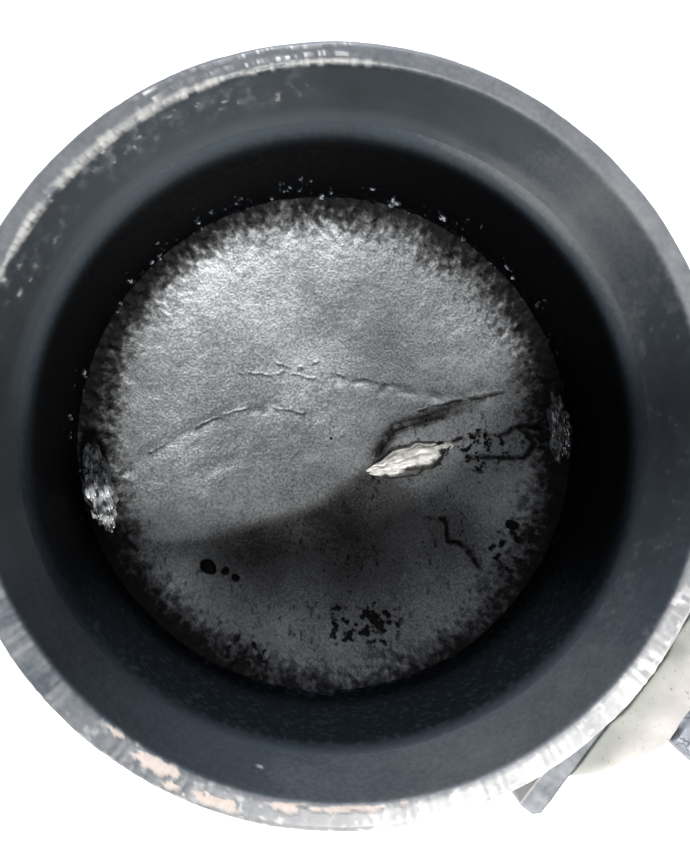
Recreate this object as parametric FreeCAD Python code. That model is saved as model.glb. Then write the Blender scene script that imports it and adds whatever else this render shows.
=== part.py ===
import FreeCAD, Part
import math
import os

# Heavy porcelain crucible, used and sooty, standing in its carrying hoop.
# The origin is the middle of the foot's face on the bench. +Z is up, and +X runs out along the carrying
# handle.
# All sizes are in millimetres.

# Crucible
crucible_height = 50.0
rim_radius = 50.0
rim_inner_radius = 46.4
rim_height = 6.0
rim_outer_rounding = 1.3
rim_inner_rounding = 0.8
wall_thickness = 2.7
wall_taper = math.radians(5.7)
floor_thickness = 5.0
inner_corner_radius = 13.0
outer_corner_radius = 15.0
foot_radius = 31.0
foot_ring_width = 5.0
foot_height = 1.2

# What is baked on inside it
lining_depth = 12.0
lining_thickness = 0.8
crust_edge_depth = 33.0
crust_thickness = 5.2
crust_flat_radius = 20.0
seam_route = [(-24.0, -52.0), (-14.0, -36.6), (-4.3, -26.6), (6.0, -10.0), (8.0, 1.0), (7.0, 9.0),
              (17.4, 26.1), (36.0, 46.0)]
clinker_depth = 3.6
left_clinker_height = 4.6
left_clinker_angle = -124.8
left_clinker_span = 26.0
right_clinker_height = 3.4
right_clinker_angle = 43.8
right_clinker_span = 18.0
bead_length = 11.0
bead_width = 5.2
bead_height = 1.5
bead_place = (13.0, 6.8)
bead_angle = 58.0

# Carrying hoop and handle
hoop_height = 5.0
hoop_thickness = 1.3
hoop_clearance = 0.15
hoop_gap = 12.0
pad_half_width = 13.0
crossbar_length = 47.0
crossbar_height = 4.0
crossbar_thickness = 3.5
crossbar_drop = 1.8
crossbar_chamfer = 0.9
rivet_spacing = 18.0
rivet_radius = 1.1
rivet_head_radius = 1.7
rivet_head_depth = 0.8
fastener_clearance = 0.02
socket_length = 8.2
socket_root_width = 34.0
socket_nose_width = 9.0
socket_bulge = 0.9
socket_height = 6.4
socket_rounding = 1.8
shank_radius = 2.5
screw_radius = 1.2
arm_width = 7.6
arm_height = 5.6
arm_reach = 73.0
arm_chamfer = 0.8
eye_radius = 7.5
hang_hole_radius = 3.0

# Places worked out from those sizes
rim_underside = crucible_height - rim_height
lining_top = crucible_height - lining_depth
crust_edge = crucible_height - crust_edge_depth
crust_middle = floor_thickness + lining_thickness + crust_thickness
hoop_top = rim_underside
hoop_bottom = hoop_top - hoop_height
crossbar_top = hoop_top - crossbar_drop
crossbar_bottom = crossbar_top - crossbar_height
handle_level = (crossbar_top + crossbar_bottom) / 2.0


def wall_radius(height, depth_in_wall=0.0):
    """Radius of the tapered inner wall at a height, or of a surface that far behind it."""
    cone = rim_inner_radius - (crucible_height - height) * math.tan(wall_taper)
    return cone + depth_in_wall / math.cos(wall_taper)


hoop_inner_top = wall_radius(hoop_top, wall_thickness + hoop_clearance)
hoop_radius = hoop_inner_top + hoop_thickness
crossbar_outer = hoop_radius + crossbar_thickness
socket_nose = crossbar_outer + socket_length
eye_centre = socket_nose + arm_reach


def point(radius, height):
    return FreeCAD.Vector(radius, 0.0, height)


def line(start, end):
    return Part.LineSegment(start, end).toShape()


def arc(start, middle, end):
    return Part.Arc(start, middle, end).toShape()


def revolved(edges, angle=360.0):
    """Turn a closed outline in the XZ plane about the Z axis."""
    outline = Part.Wire(edges)
    return Part.Face(outline).revolve(FreeCAD.Vector(0, 0, 0), FreeCAD.Vector(0, 0, 1), angle)


def wall_corner(depth_in_wall, floor_height, radius):
    """Three points of the arc from the tapered wall to a flat floor: on the wall, between, on the floor."""
    base = wall_radius(floor_height, depth_in_wall)
    centre_r = base + radius * math.tan(wall_taper) - radius / math.cos(wall_taper)
    centre_z = floor_height + radius
    halfway = (wall_taper + math.pi / 2.0) / 2.0
    points = []
    for angle in (wall_taper, halfway, math.pi / 2.0):
        points.append(point(centre_r + radius * math.cos(angle), centre_z - radius * math.sin(angle)))
    return points


def box(low, high):
    size = FreeCAD.Vector(*high) - FreeCAD.Vector(*low)
    return Part.makeBox(size.x, size.y, size.z, FreeCAD.Vector(*low))


def rod_along_x(radius, start, end, across, level):
    base = FreeCAD.Vector(start, across, level)
    return Part.makeCylinder(radius, end - start, base, FreeCAD.Vector(1, 0, 0))


def crucible_body():
    wall_in, corner_in, floor_in = wall_corner(0.0, floor_thickness, inner_corner_radius)
    wall_out, corner_out, floor_out = wall_corner(wall_thickness, foot_height, outer_corner_radius)
    bead = rim_outer_rounding
    lip = rim_inner_rounding
    lip_start = point(wall_radius(crucible_height - lip), crucible_height - lip)
    lip_middle = point(rim_inner_radius + 0.29 * lip, crucible_height - 0.29 * lip)
    lip_end = point(rim_inner_radius + lip, crucible_height)
    bead_start = point(rim_radius - bead, crucible_height)
    bead_middle = point(rim_radius - 0.29 * bead, crucible_height - 0.29 * bead)
    bead_end = point(rim_radius, crucible_height - bead)
    rim_bottom = point(rim_radius, rim_underside)
    neck = point(wall_radius(rim_underside, wall_thickness), rim_underside)
    foot_out_top = point(foot_radius, foot_height)
    foot_out = point(foot_radius - foot_height / 2.0, 0.0)
    foot_in = point(foot_radius - foot_ring_width, 0.0)
    foot_in_top = point(foot_radius - foot_ring_width - foot_height / 2.0, foot_height)
    edges = [
        line(point(0.0, floor_thickness), floor_in),
        arc(floor_in, corner_in, wall_in),
        line(wall_in, lip_start),
        arc(lip_start, lip_middle, lip_end),
        line(lip_end, bead_start),
        arc(bead_start, bead_middle, bead_end),
        line(bead_end, rim_bottom),
        line(rim_bottom, neck),
        line(neck, wall_out),
        arc(wall_out, corner_out, floor_out),
        line(floor_out, foot_out_top),
        line(foot_out_top, foot_out),
        line(foot_out, foot_in),
        line(foot_in, foot_in_top),
        line(foot_in_top, point(0.0, foot_height)),
        line(point(0.0, foot_height), point(0.0, floor_thickness)),
    ]
    return revolved(edges)


def carbon_lining():
    """A baked skin over the floor and the lower wall; its top edge is the step ring seen inside."""
    inner_floor = floor_thickness + lining_thickness
    inner_radius = inner_corner_radius - lining_thickness
    back = wall_corner(0.0, floor_thickness, inner_corner_radius)
    front = wall_corner(-lining_thickness, inner_floor, inner_radius)
    shoulder = lining_top - lining_thickness
    edges = [
        line(point(0.0, floor_thickness), back[2]),
        arc(back[2], back[1], back[0]),
        line(back[0], point(wall_radius(lining_top), lining_top)),
        line(point(wall_radius(lining_top), lining_top),
             point(wall_radius(shoulder, -lining_thickness), shoulder)),
        line(point(wall_radius(shoulder, -lining_thickness), shoulder), front[0]),
        arc(front[0], front[1], front[2]),
        line(front[2], point(0.0, inner_floor)),
        line(point(0.0, inner_floor), point(0.0, floor_thickness)),
    ]
    return revolved(edges)


def crust_arc():
    """The dished part of the crust's top: where it leaves the flat middle, a point between, and its edge."""
    edge_radius = wall_radius(crust_edge, -lining_thickness)
    run = edge_radius - crust_flat_radius
    rise = crust_edge - crust_middle
    dish_radius = (run * run + rise * rise) / (2.0 * rise)
    half_turn = math.asin(run / dish_radius) / 2.0
    middle_r = crust_flat_radius + dish_radius * math.sin(half_turn)
    middle_z = crust_middle + dish_radius * (1.0 - math.cos(half_turn))
    return point(crust_flat_radius, crust_middle), point(middle_r, middle_z), point(edge_radius, crust_edge)


def crust_cake():
    inner_floor = floor_thickness + lining_thickness
    corner_radius = inner_corner_radius - lining_thickness
    wall, corner, floor = wall_corner(-lining_thickness, inner_floor, corner_radius)
    dish_start, dish_middle, dish_edge = crust_arc()
    upper_wall = []
    if dish_edge.z > wall.z + 0.001:
        upper_wall = [line(wall, dish_edge)]
    edges = [
        line(point(0.0, inner_floor), floor),
        arc(floor, corner, wall),
    ]
    edges += upper_wall
    edges += [
        arc(dish_edge, dish_middle, dish_start),
        line(dish_start, point(0.0, crust_middle)),
        line(point(0.0, crust_middle), point(0.0, inner_floor)),
    ]
    return revolved(edges)


def crust_plates():
    """The cake broken in two along its wandering seam."""
    route = [FreeCAD.Vector(x, y, 0.0) for x, y in seam_route]
    beyond = 2.0 * rim_radius
    far_side = [FreeCAD.Vector(beyond, route[-1].y, 0.0), FreeCAD.Vector(beyond, route[0].y, 0.0)]
    outline = Part.makePolygon(route + far_side + [route[0]])
    lower_side = Part.Face(outline).extrude(FreeCAD.Vector(0.0, 0.0, crucible_height))
    cake = crust_cake()
    return cake.cut(lower_side), cake.common(lower_side)


def clinker(height, angle, span):
    """A lump of slag that sits on the crust's edge and against the lining."""
    dish_start, dish_middle, dish_edge = crust_arc()
    run = dish_edge.x - dish_start.x
    rise = dish_edge.z - dish_start.z
    dish_radius = (run * run + rise * rise) / (2.0 * rise)

    def on_dish(radius):
        across = radius - dish_start.x
        return point(radius, dish_start.z + dish_radius - math.sqrt(dish_radius ** 2 - across ** 2))

    inner = dish_edge.x - clinker_depth
    top = crust_edge + height
    top_out = point(wall_radius(top, -lining_thickness), top)
    top_in = point(top_out.x - clinker_depth * 0.55, top - height * 0.12)
    shoulder = point(inner, on_dish(inner).z + height * 0.62)
    edges = [
        arc(dish_edge, on_dish(dish_edge.x - clinker_depth / 2.0), on_dish(inner)),
        line(on_dish(inner), shoulder),
        line(shoulder, top_in),
        line(top_in, top_out),
        line(top_out, dish_edge),
    ]
    lump = revolved(edges, span)
    lump.rotate(FreeCAD.Vector(0, 0, 0), FreeCAD.Vector(0, 0, 1), angle - span / 2.0)
    return lump


def bright_bead():
    """A flat-bottomed bead of once-molten metal on the crust's level middle."""
    half = bead_width / 2.0
    ball_radius = (half * half + bead_height * bead_height) / (2.0 * bead_height)
    ball = Part.makeSphere(ball_radius, FreeCAD.Vector(0.0, 0.0, bead_height - ball_radius))
    cap = ball.common(box((-half, -half, 0.0), (half, half, bead_height)))
    stretch = FreeCAD.Matrix()
    stretch.scale(bead_length / bead_width, 1.0, 1.0)
    bead = cap.transformGeometry(stretch)
    bead.rotate(FreeCAD.Vector(0, 0, 0), FreeCAD.Vector(0, 0, 1), bead_angle)
    bead.translate(FreeCAD.Vector(bead_place[0], bead_place[1], crust_middle))
    return bead


def wall_cone(extra):
    """A solid cone with the crucible's outer taper, that far outside it, taller than the hoop and its pad."""
    behind = wall_thickness + extra
    bottom = min(hoop_bottom, crossbar_bottom) - 1.0
    top = hoop_top + 1.0
    low, high = wall_radius(bottom, behind), wall_radius(top, behind)
    return Part.makeCone(low, high, top - bottom, FreeCAD.Vector(0.0, 0.0, bottom))


def rivet_places():
    return (-rivet_spacing / 2.0, rivet_spacing / 2.0)


def carrying_hoop():
    """A split spring hoop with a forged pad for the crossbar; the rim rests on its top edge."""
    band = Part.makeCylinder(hoop_radius, hoop_height, FreeCAD.Vector(0.0, 0.0, hoop_bottom))
    pad_back = hoop_radius * 0.9
    pad = box((pad_back, -pad_half_width, crossbar_bottom), (hoop_radius, pad_half_width, hoop_top))
    hoop = band.fuse(pad).cut(wall_cone(hoop_clearance))
    split = box((-2.0 * rim_radius, -hoop_gap / 2.0, 0.0), (0.0, hoop_gap / 2.0, crucible_height))
    hoop = hoop.cut(split)
    for across in rivet_places():
        hole = rod_along_x(rivet_radius + fastener_clearance, 0.0, rim_radius * 2.0, across, handle_level)
        hoop = hoop.cut(hole)
    return hoop.removeSplitter()


def crossbar():
    half = crossbar_length / 2.0
    bar = box((hoop_radius, -half, crossbar_bottom), (crossbar_outer, half, crossbar_top))
    corners = [edge for edge in bar.Edges if is_upright_at(edge, crossbar_outer)]
    bar = bar.makeChamfer(crossbar_chamfer, corners)
    hole = rod_along_x(screw_radius + fastener_clearance, hoop_radius, crossbar_outer, 0.0, handle_level)
    bar = bar.cut(hole)
    for across in rivet_places():
        bar = bar.cut(rivet(across, fastener_clearance))
    return bar


def is_upright_at(edge, x):
    middle = edge.CenterOfMass
    return abs(middle.x - x) < 0.01 and abs(edge.BoundBox.ZLength - edge.Length) < 0.01


def rivet(across, extra=0.0):
    """A countersunk rivet, its head flush with the crossbar's outer face."""
    shank = rod_along_x(rivet_radius + extra, 0.0, crossbar_outer, across, handle_level)
    tip = FreeCAD.Vector(crossbar_outer - rivet_head_depth, across, handle_level)
    low, high = rivet_radius + extra, rivet_head_radius + extra
    head = Part.makeCone(low, high, rivet_head_depth, tip, FreeCAD.Vector(1, 0, 0))
    return shank.fuse(head).cut(wall_cone(hoop_clearance))


def crossbar_rivets():
    return Part.makeCompound([rivet(across) for across in rivet_places()])


def socket_outline(level):
    """The handle socket from above: wide where it meets the crossbar, bulging gently in to its nose."""
    root = socket_root_width / 2.0
    nose = socket_nose_width / 2.0
    side_x = (crossbar_outer + socket_nose) / 2.0 + socket_bulge * 0.7
    side_y = (root + nose) / 2.0 + socket_bulge * 0.7
    corners = [
        FreeCAD.Vector(crossbar_outer, -root, level),
        FreeCAD.Vector(socket_nose, -nose, level),
        FreeCAD.Vector(socket_nose, nose, level),
        FreeCAD.Vector(crossbar_outer, root, level),
    ]
    return Part.Wire([
        arc(corners[0], FreeCAD.Vector(side_x, -side_y, level), corners[1]),
        line(corners[1], corners[2]),
        arc(corners[2], FreeCAD.Vector(side_x, side_y, level), corners[3]),
        line(corners[3], corners[0]),
    ])


def porcelain_socket():
    """A moulded porcelain heat break between the crossbar and the iron arm."""
    bottom = handle_level - socket_height / 2.0
    block = Part.Face(socket_outline(bottom)).extrude(FreeCAD.Vector(0.0, 0.0, socket_height))
    rims = [edge for edge in block.Edges if is_level_rim(edge)]
    block = block.makeFillet(socket_rounding, rims)
    bore = rod_along_x(shank_radius + fastener_clearance, crossbar_outer, socket_nose, 0.0, handle_level)
    return block.cut(bore)


def is_level_rim(edge):
    level = edge.BoundBox.ZLength < 0.01
    return level and edge.CenterOfMass.x > crossbar_outer + 0.01


def handle_arm():
    """Iron arm with a shouldered root that screws into the crossbar and an eye to hang it by."""
    low = handle_level - arm_height / 2.0
    half = arm_width / 2.0
    arm = box((socket_nose, -half, low), (eye_centre, half, low + arm_height))
    long_edges = [edge for edge in arm.Edges if edge.BoundBox.XLength > arm_reach * 0.9]
    arm = arm.makeChamfer(arm_chamfer, long_edges)
    eye = Part.makeCylinder(eye_radius, arm_height, FreeCAD.Vector(eye_centre, 0.0, low))
    eye = eye.makeChamfer(arm_chamfer, [edge for edge in eye.Edges if edge.BoundBox.ZLength < 0.01])
    shank = rod_along_x(shank_radius, crossbar_outer, socket_nose, 0.0, handle_level)
    tip = rod_along_x(screw_radius, hoop_radius, crossbar_outer, 0.0, handle_level)
    hole = Part.makeCylinder(hang_hole_radius, arm_height, FreeCAD.Vector(eye_centre, 0.0, low))
    return arm.fuse([eye, shank, tip]).cut(hole).removeSplitter()


def main():
    upper_plate, lower_plate = crust_plates()
    parts = {
        "crucible_body": crucible_body(),
        "carbon_lining": carbon_lining(),
        "upper_crust_plate": upper_plate,
        "lower_crust_plate": lower_plate,
        "left_clinker": clinker(left_clinker_height, left_clinker_angle, left_clinker_span),
        "right_clinker": clinker(right_clinker_height, right_clinker_angle, right_clinker_span),
        "bright_bead": bright_bead(),
        "carrying_hoop": carrying_hoop(),
        "crossbar": crossbar(),
        "crossbar_rivets": crossbar_rivets(),
        "porcelain_socket": porcelain_socket(),
        "handle_arm": handle_arm(),
    }
    os.makedirs("parts", exist_ok=True)
    for name, shape in parts.items():
        shape.exportStep("parts/" + name + ".step")
        print(name, len(shape.Solids), round(shape.Volume, 1), shape.isValid())


main()
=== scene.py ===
import math

import bmesh
import bpy
import numpy as np
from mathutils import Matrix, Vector


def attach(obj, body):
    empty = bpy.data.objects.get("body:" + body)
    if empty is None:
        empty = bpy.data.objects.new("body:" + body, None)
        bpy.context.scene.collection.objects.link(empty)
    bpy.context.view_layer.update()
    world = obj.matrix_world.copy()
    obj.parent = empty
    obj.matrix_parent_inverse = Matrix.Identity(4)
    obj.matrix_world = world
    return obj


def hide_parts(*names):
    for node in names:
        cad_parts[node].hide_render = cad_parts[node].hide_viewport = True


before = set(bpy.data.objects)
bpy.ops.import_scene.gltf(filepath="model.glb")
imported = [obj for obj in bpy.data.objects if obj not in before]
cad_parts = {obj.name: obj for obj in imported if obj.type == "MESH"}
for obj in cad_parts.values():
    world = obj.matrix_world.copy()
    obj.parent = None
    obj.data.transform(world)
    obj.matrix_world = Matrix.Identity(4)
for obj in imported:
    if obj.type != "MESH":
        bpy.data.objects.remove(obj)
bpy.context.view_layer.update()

# Sizes in the dictionaries are millimetres and bearings are degrees around the vessel, from the handle;
# meshes are made in metres.
metre = 0.001


def toLinear(hexColour):
    channels = [int(hexColour[i:i + 2], 16) / 255.0 for i in (1, 3, 5)]
    linear = [c / 12.92 if c <= 0.04045 else ((c + 0.055) / 1.055) ** 2.4 for c in channels]
    return (*linear, 1.0)


def lattice(ix, iy, iz, seed):
    # a repeatable value from 0 to 1 for each whole-numbered cell
    mixed = (ix.astype(np.int64) * 374761393 + iy.astype(np.int64) * 668265263
             + iz.astype(np.int64) * 1442695041 + seed * 1274126177) & 0xffffffff
    mixed = ((mixed ^ (mixed >> 13)) * 1274126177) & 0xffffffff
    mixed = mixed ^ (mixed >> 16)
    return (mixed & 0xffff) / 65535.0


def smoothNoise(points, size, seed=0):
    # noise from -1 to 1, whose lumps are about "size" millimetres across
    scaled = points / size
    cell = np.floor(scaled).astype(np.int64)
    part = scaled - cell
    part = part * part * part * (part * (part * 6.0 - 15.0) + 10.0)
    total = np.zeros(len(points))
    for corner in range(8):
        step = np.array([corner & 1, (corner >> 1) & 1, (corner >> 2) & 1])
        weight = np.prod(np.where(step == 1, part, 1.0 - part), axis=1)
        near = cell + step
        total += weight * lattice(near[:, 0], near[:, 1], near[:, 2], seed)
    return total * 2.0 - 1.0


def layeredNoise(points, size, layers=3, seed=0):
    total = np.zeros(len(points))
    strength = 0.0
    for layer in range(layers):
        total += smoothNoise(points, size / 2.03 ** layer, seed + layer * 17) * 0.5 ** layer
        strength += 0.5 ** layer
    return total / strength


def fade(value, low, high):
    part = np.clip((value - low) / (high - low), 0.0, 1.0)
    return part * part * (3.0 - 2.0 * part)


def sector(bearing, middle, halfWidth, softness=8.0):
    # 1 inside a stretch of the circle, falling to 0 past its ends
    away = np.abs((bearing - middle + 180.0) % 360.0 - 180.0)
    return 1.0 - fade(away, halfWidth, halfWidth + softness)


def around(bearing, stops):
    # a value that changes smoothly around the circle, from (bearing, value) pairs
    return np.interp(bearing, [stop[0] for stop in stops], [stop[1] for stop in stops], period=360.0)


def offRoute(x, y, route):
    # distance from a route of straight runs: positive on the left of its direction, negative on the right
    nearest = np.full(x.shape, 1e9)
    signed = np.full(x.shape, 1e9)
    for (x0, y0), (x1, y1) in zip(route[:-1], route[1:]):
        dx, dy = x1 - x0, y1 - y0
        along = np.clip(((x - x0) * dx + (y - y0) * dy) / (dx * dx + dy * dy), 0.0, 1.0)
        away = np.hypot(x - x0 - along * dx, y - y0 - along * dy)
        side = np.where(dx * (y - y0) - dy * (x - x0) >= 0.0, 1.0, -1.0)
        closer = away < nearest
        nearest = np.where(closer, away, nearest)
        signed = np.where(closer, away * side, signed)
    return signed


def vertexNormals(grid):
    # outward normals of a rings-by-columns grid that closes around
    across = np.gradient(grid, axis=0)
    along = np.roll(grid, -1, axis=1) - np.roll(grid, 1, axis=1)
    normal = np.cross(across, along)
    return normal / np.maximum(np.linalg.norm(normal, axis=2, keepdims=True), 1e-9)


def addObject(name, data):
    piece = bpy.data.objects.new(name, data)
    bpy.context.collection.objects.link(piece)
    return piece


def polar(points):
    # how far out each point is, its bearing and its height
    x, y, z = points.T
    return np.hypot(x, y), np.degrees(np.arctan2(y, x)), z


def mark(mesh, marks):
    # named values at the vertices, for a material to read
    for name, values in marks.items():
        layer = mesh.attributes.new(name, "FLOAT", "POINT")
        layer.data.foreach_set("value", values.astype(np.float32))
    mesh.update()


def meshFrom(name, vertices, faces, marks=None):
    mesh = bpy.data.meshes.new(name)
    mesh.from_pydata((vertices * metre).tolist(), [], faces)
    mesh.polygons.foreach_set("use_smooth", [True] * len(mesh.polygons))
    mark(mesh, marks or {})
    return addObject(name, mesh)


def turnedMesh(name, grid, marks=None):
    # a closed form from a grid of rings: quads around, one flat cap at each end
    rings, columns = grid.shape[:2]
    faces = []
    for ring in range(rings - 1):
        start = ring * columns
        for column in range(columns):
            after = (column + 1) % columns
            faces.append((start + column, start + after, start + columns + after, start + columns + column))
    faces.append(tuple(range(columns - 1, -1, -1)))
    faces.append(tuple(range((rings - 1) * columns, rings * columns)))
    piece = meshFrom(name, grid.reshape(-1, 3), faces, marks)
    work = bmesh.new()
    work.from_mesh(piece.data)
    bmesh.ops.recalc_face_normals(work, faces=work.faces)
    work.to_mesh(piece.data)
    work.free()
    return piece


def settle(piece):
    # applies every modifier, so that the mesh itself is the result
    evaluated = piece.evaluated_get(bpy.context.evaluated_depsgraph_get())
    finished = bpy.data.meshes.new_from_object(evaluated)
    piece.modifiers.clear()
    piece.data = finished


def fit(piece, body, slotName, material, *nodes):
    piece.data.materials.clear()
    piece.data.materials.append(material)
    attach(piece, body)
    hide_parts(*nodes)


def join(tree, node, links):
    # each socket by name, and what feeds it: a socket, or a node, for the first of its sockets in use
    for key, source in links.items():
        if isinstance(source, bpy.types.Node):
            source = next(socket for socket in source.outputs if socket.enabled)
        tree.links.new(source, node.inputs[key])


def addNode(tree, kind, settings=None, links=None, stops=()):
    # settings are socket values or the node's own options; stops are a colour ramp's (place, colour) pairs
    node = tree.nodes.new("ShaderNode" + kind)
    for key, value in (settings or {}).items():
        if isinstance(key, int) or key in node.inputs:
            node.inputs[key].default_value = value
        else:
            setattr(node, key, value)
    join(tree, node, links or {})
    for index, (place, colour) in enumerate(stops):
        elements = node.color_ramp.elements
        element = elements[index] if index < 2 else elements.new(place)
        element.position = place
        element.color = toLinear(colour)
    return node


def startMaterial(name, settings):
    material = bpy.data.materials.new(name)
    material.use_nodes = True
    tree = material.node_tree
    tree.nodes.clear()
    shader = addNode(tree, "BsdfPrincipled", settings)
    addNode(tree, "OutputMaterial", None, {"Surface": shader.outputs["BSDF"]})
    place = addNode(tree, "TexCoord").outputs["Object"]
    return material, tree, shader, place


def perMetre(size):
    return 1.0 / (size * metre)           # a pattern's scale, from the real size of its lumps


midRange = {"From Min": 0.3, "From Max": 0.7}          # most of a noise lies between these


def grainySkin(tree, grain, smooth, rough, strength, relief):
    # how rough a grain makes the surface, between two values, and how deep in mm its relief looks
    satin = addNode(tree, "MapRange", {"To Min": smooth, "To Max": rough}, {"Value": grain})
    bump = addNode(tree, "Bump", {"Strength": strength, "Distance": relief * metre}, {"Height": grain})
    return {"Roughness": satin, "Normal": bump}


camera = dict(
    place=(-3.25, -15.02, 135.98),        # close over the mouth, a little off the axis
    target=(-0.90, -2.21, 50.0),
    upBearing=131.4,                      # the bearing that the picture's top points in
    lens=29.72,
    sensor=36.0,
    nearest=5.0,
)
lights = [
    dict(name="window", bearing=-30.0, height=47.0, distance=520.0, size=75.0, power=3.9, colour="#FFFDFB"),
    dict(name="ceiling", bearing=14.0, height=74.0, distance=620.0, size=300.0, power=0.5, colour="#FFFFFF"),
    dict(name="doorway", bearing=131.0, height=22.0, distance=600.0, size=320.0, power=3.4, colour="#F2F5FF"),
    dict(name="lamp", bearing=-105.0, height=38.0, distance=600.0, size=260.0, power=0.8, colour="#F6F8FF"),
]
room = dict(colour="#F6F7FA", strength=0.25)
board = dict(half=2500.0, colour="#FCFCFC", glow=0.5)


def aimCamera():
    data = bpy.data.cameras.new("camera")
    data.lens = camera["lens"]
    data.sensor_width = camera["sensor"]
    data.clip_start = camera["nearest"] * metre
    eye = addObject("camera", data)
    place = Vector(camera["place"]) * metre
    back = (place - Vector(camera["target"]) * metre).normalized()
    bearing = math.radians(camera["upBearing"])
    hint = Vector((math.cos(bearing), math.sin(bearing), 0.0))
    right = hint.cross(back).normalized()
    up = back.cross(right)
    for row in range(3):
        eye.matrix_world[row][0] = right[row]
        eye.matrix_world[row][1] = up[row]
        eye.matrix_world[row][2] = back[row]
        eye.matrix_world[row][3] = place[row]
    bpy.context.scene.camera = eye


def lightRoom():
    for light in lights:
        data = bpy.data.lights.new(light["name"], "AREA")
        data.shape = "DISK"
        data.size = light["size"] * metre
        data.energy = light["power"]
        data.color = toLinear(light["colour"])[:3]
        lamp = addObject(light["name"], data)
        bearing = math.radians(light["bearing"])
        height = math.radians(light["height"])
        level = math.cos(height)
        direction = Vector((math.cos(bearing) * level, math.sin(bearing) * level, math.sin(height)))
        lamp.location = direction * light["distance"] * metre + Vector((0.0, 0.0, 0.03))
        lamp.rotation_euler = direction.to_track_quat("Z", "Y").to_euler()
    world = bpy.data.worlds.new("room")
    world.use_nodes = True
    sky = world.node_tree.nodes["Background"]
    sky.inputs["Color"].default_value = toLinear(room["colour"])
    sky.inputs["Strength"].default_value = room["strength"]
    bpy.context.scene.world = world
    bpy.context.scene.view_settings.view_transform = "Standard"


def layFloor():
    half = board["half"]
    corners = np.array([(-half, -half, 0.0), (half, -half, 0.0), (half, half, 0.0), (-half, half, 0.0)])
    floor = meshFrom("floor", corners, [(0, 1, 2, 3)])
    # a white painted board: matt, and bright enough to leave no hard edge to a shadow
    white = toLinear(board["colour"])
    paint = startMaterial("whitePaintedBoard", {
        "Base Color": white, "Roughness": 0.9, "Emission Color": white, "Emission Strength": board["glow"]})
    floor.data.materials.append(paint[0])


aimCamera()
lightRoom()
layFloor()
print("camera, lights and floor are in place")


vessel = dict(
    height=50.0, rimRadius=50.0, rimInner=46.4, rimHeight=6.0, wall=2.7, taper=5.7,
    floor=5.0, innerCorner=13.0, outerCorner=15.0, footRadius=31.0, footRing=5.0, footHeight=1.2,
    beadRounding=1.3, lipRounding=0.8, columns=960,
)
lining = dict(depth=12.0, thickness=0.8, shoulder=4.2, columns=1000)
crust = dict(edge=17.0, middle=11.0, flat=20.0)
taper = math.radians(vessel["taper"])


def wallRadius(height, behind=0.0):
    return vessel["rimInner"] - (vessel["height"] - height) * math.tan(taper) + behind / math.cos(taper)


def cornerPoints(behind, floor, radius, count):
    centre = wallRadius(floor, behind) + radius * math.tan(taper) - radius / math.cos(taper)
    angles = np.linspace(taper, math.pi / 2.0, count)
    return [(centre + radius * math.cos(a), floor + radius - radius * math.sin(a)) for a in angles]


def runTo(profile, end, step):
    # goes straight on from the profile's last point, in steps of about that length
    start = np.array(profile[-1])
    count = max(1, int(math.dist(start, end) / step))
    profile += [tuple(start + (np.array(end) - start) * i / count) for i in range(1, count + 1)]


def arc(centre, radius, startDegrees, endDegrees, count):
    angles = np.radians(np.linspace(startDegrees, endDegrees, count))
    return [(centre[0] + radius * math.cos(a), centre[1] + radius * math.sin(a)) for a in angles]


def ringsFrom(profile, columns):
    turn = np.linspace(0.0, 2.0 * math.pi, columns, endpoint=False)
    profile = np.array(profile)
    grid = np.empty((len(profile), columns, 3))
    grid[:, :, 0] = profile[:, 0, None] * np.cos(turn)
    grid[:, :, 1] = profile[:, 0, None] * np.sin(turn)
    grid[:, :, 2] = profile[:, 1, None]
    return grid


def bodyProfile():
    # from the middle of the floor up the inside, over the rim, down the outside and under the foot
    top = vessel["height"]
    lip = vessel["lipRounding"]
    bead = vessel["beadRounding"]
    under = top - vessel["rimHeight"]
    corner = cornerPoints(0.0, vessel["floor"], vessel["innerCorner"], 8)
    outer = cornerPoints(vessel["wall"], vessel["footHeight"], vessel["outerCorner"], 16)
    foot = vessel["footRadius"]
    footInner = foot - vessel["footRing"]
    profile = [(1.0, vessel["floor"])]
    runTo(profile, corner[-1], 8.0)
    profile += corner[::-1][1:]
    runTo(profile, (wallRadius(36.0), 36.0), 5.0)
    runTo(profile, (wallRadius(top - lip), top - lip), 0.4)
    profile += arc((vessel["rimInner"] + lip, top - lip), lip, 180.0, 90.0, 7)[1:]
    runTo(profile, (vessel["rimRadius"] - bead, top), 0.2)
    profile += arc((vessel["rimRadius"] - bead, top - bead), bead, 90.0, 0.0, 9)[1:]
    runTo(profile, (vessel["rimRadius"], under + 0.5), 0.35)
    profile += arc((vessel["rimRadius"] - 0.5, under + 0.5), 0.5, 0.0, -90.0, 5)[1:]
    runTo(profile, (wallRadius(under, vessel["wall"]), under), 0.5)
    runTo(profile, outer[0], 1.0)
    profile += outer[1:]
    runTo(profile, (foot, vessel["footHeight"]), 1.5)
    profile += [(foot - 0.25, 0.3), (foot - 0.6, 0.0)]
    runTo(profile, (footInner, 0.0), 0.8)
    profile += [(footInner - 0.4, 0.3), (footInner - 0.6, vessel["footHeight"])]
    runTo(profile, (1.0, vessel["footHeight"]), 5.0)
    return profile


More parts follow.
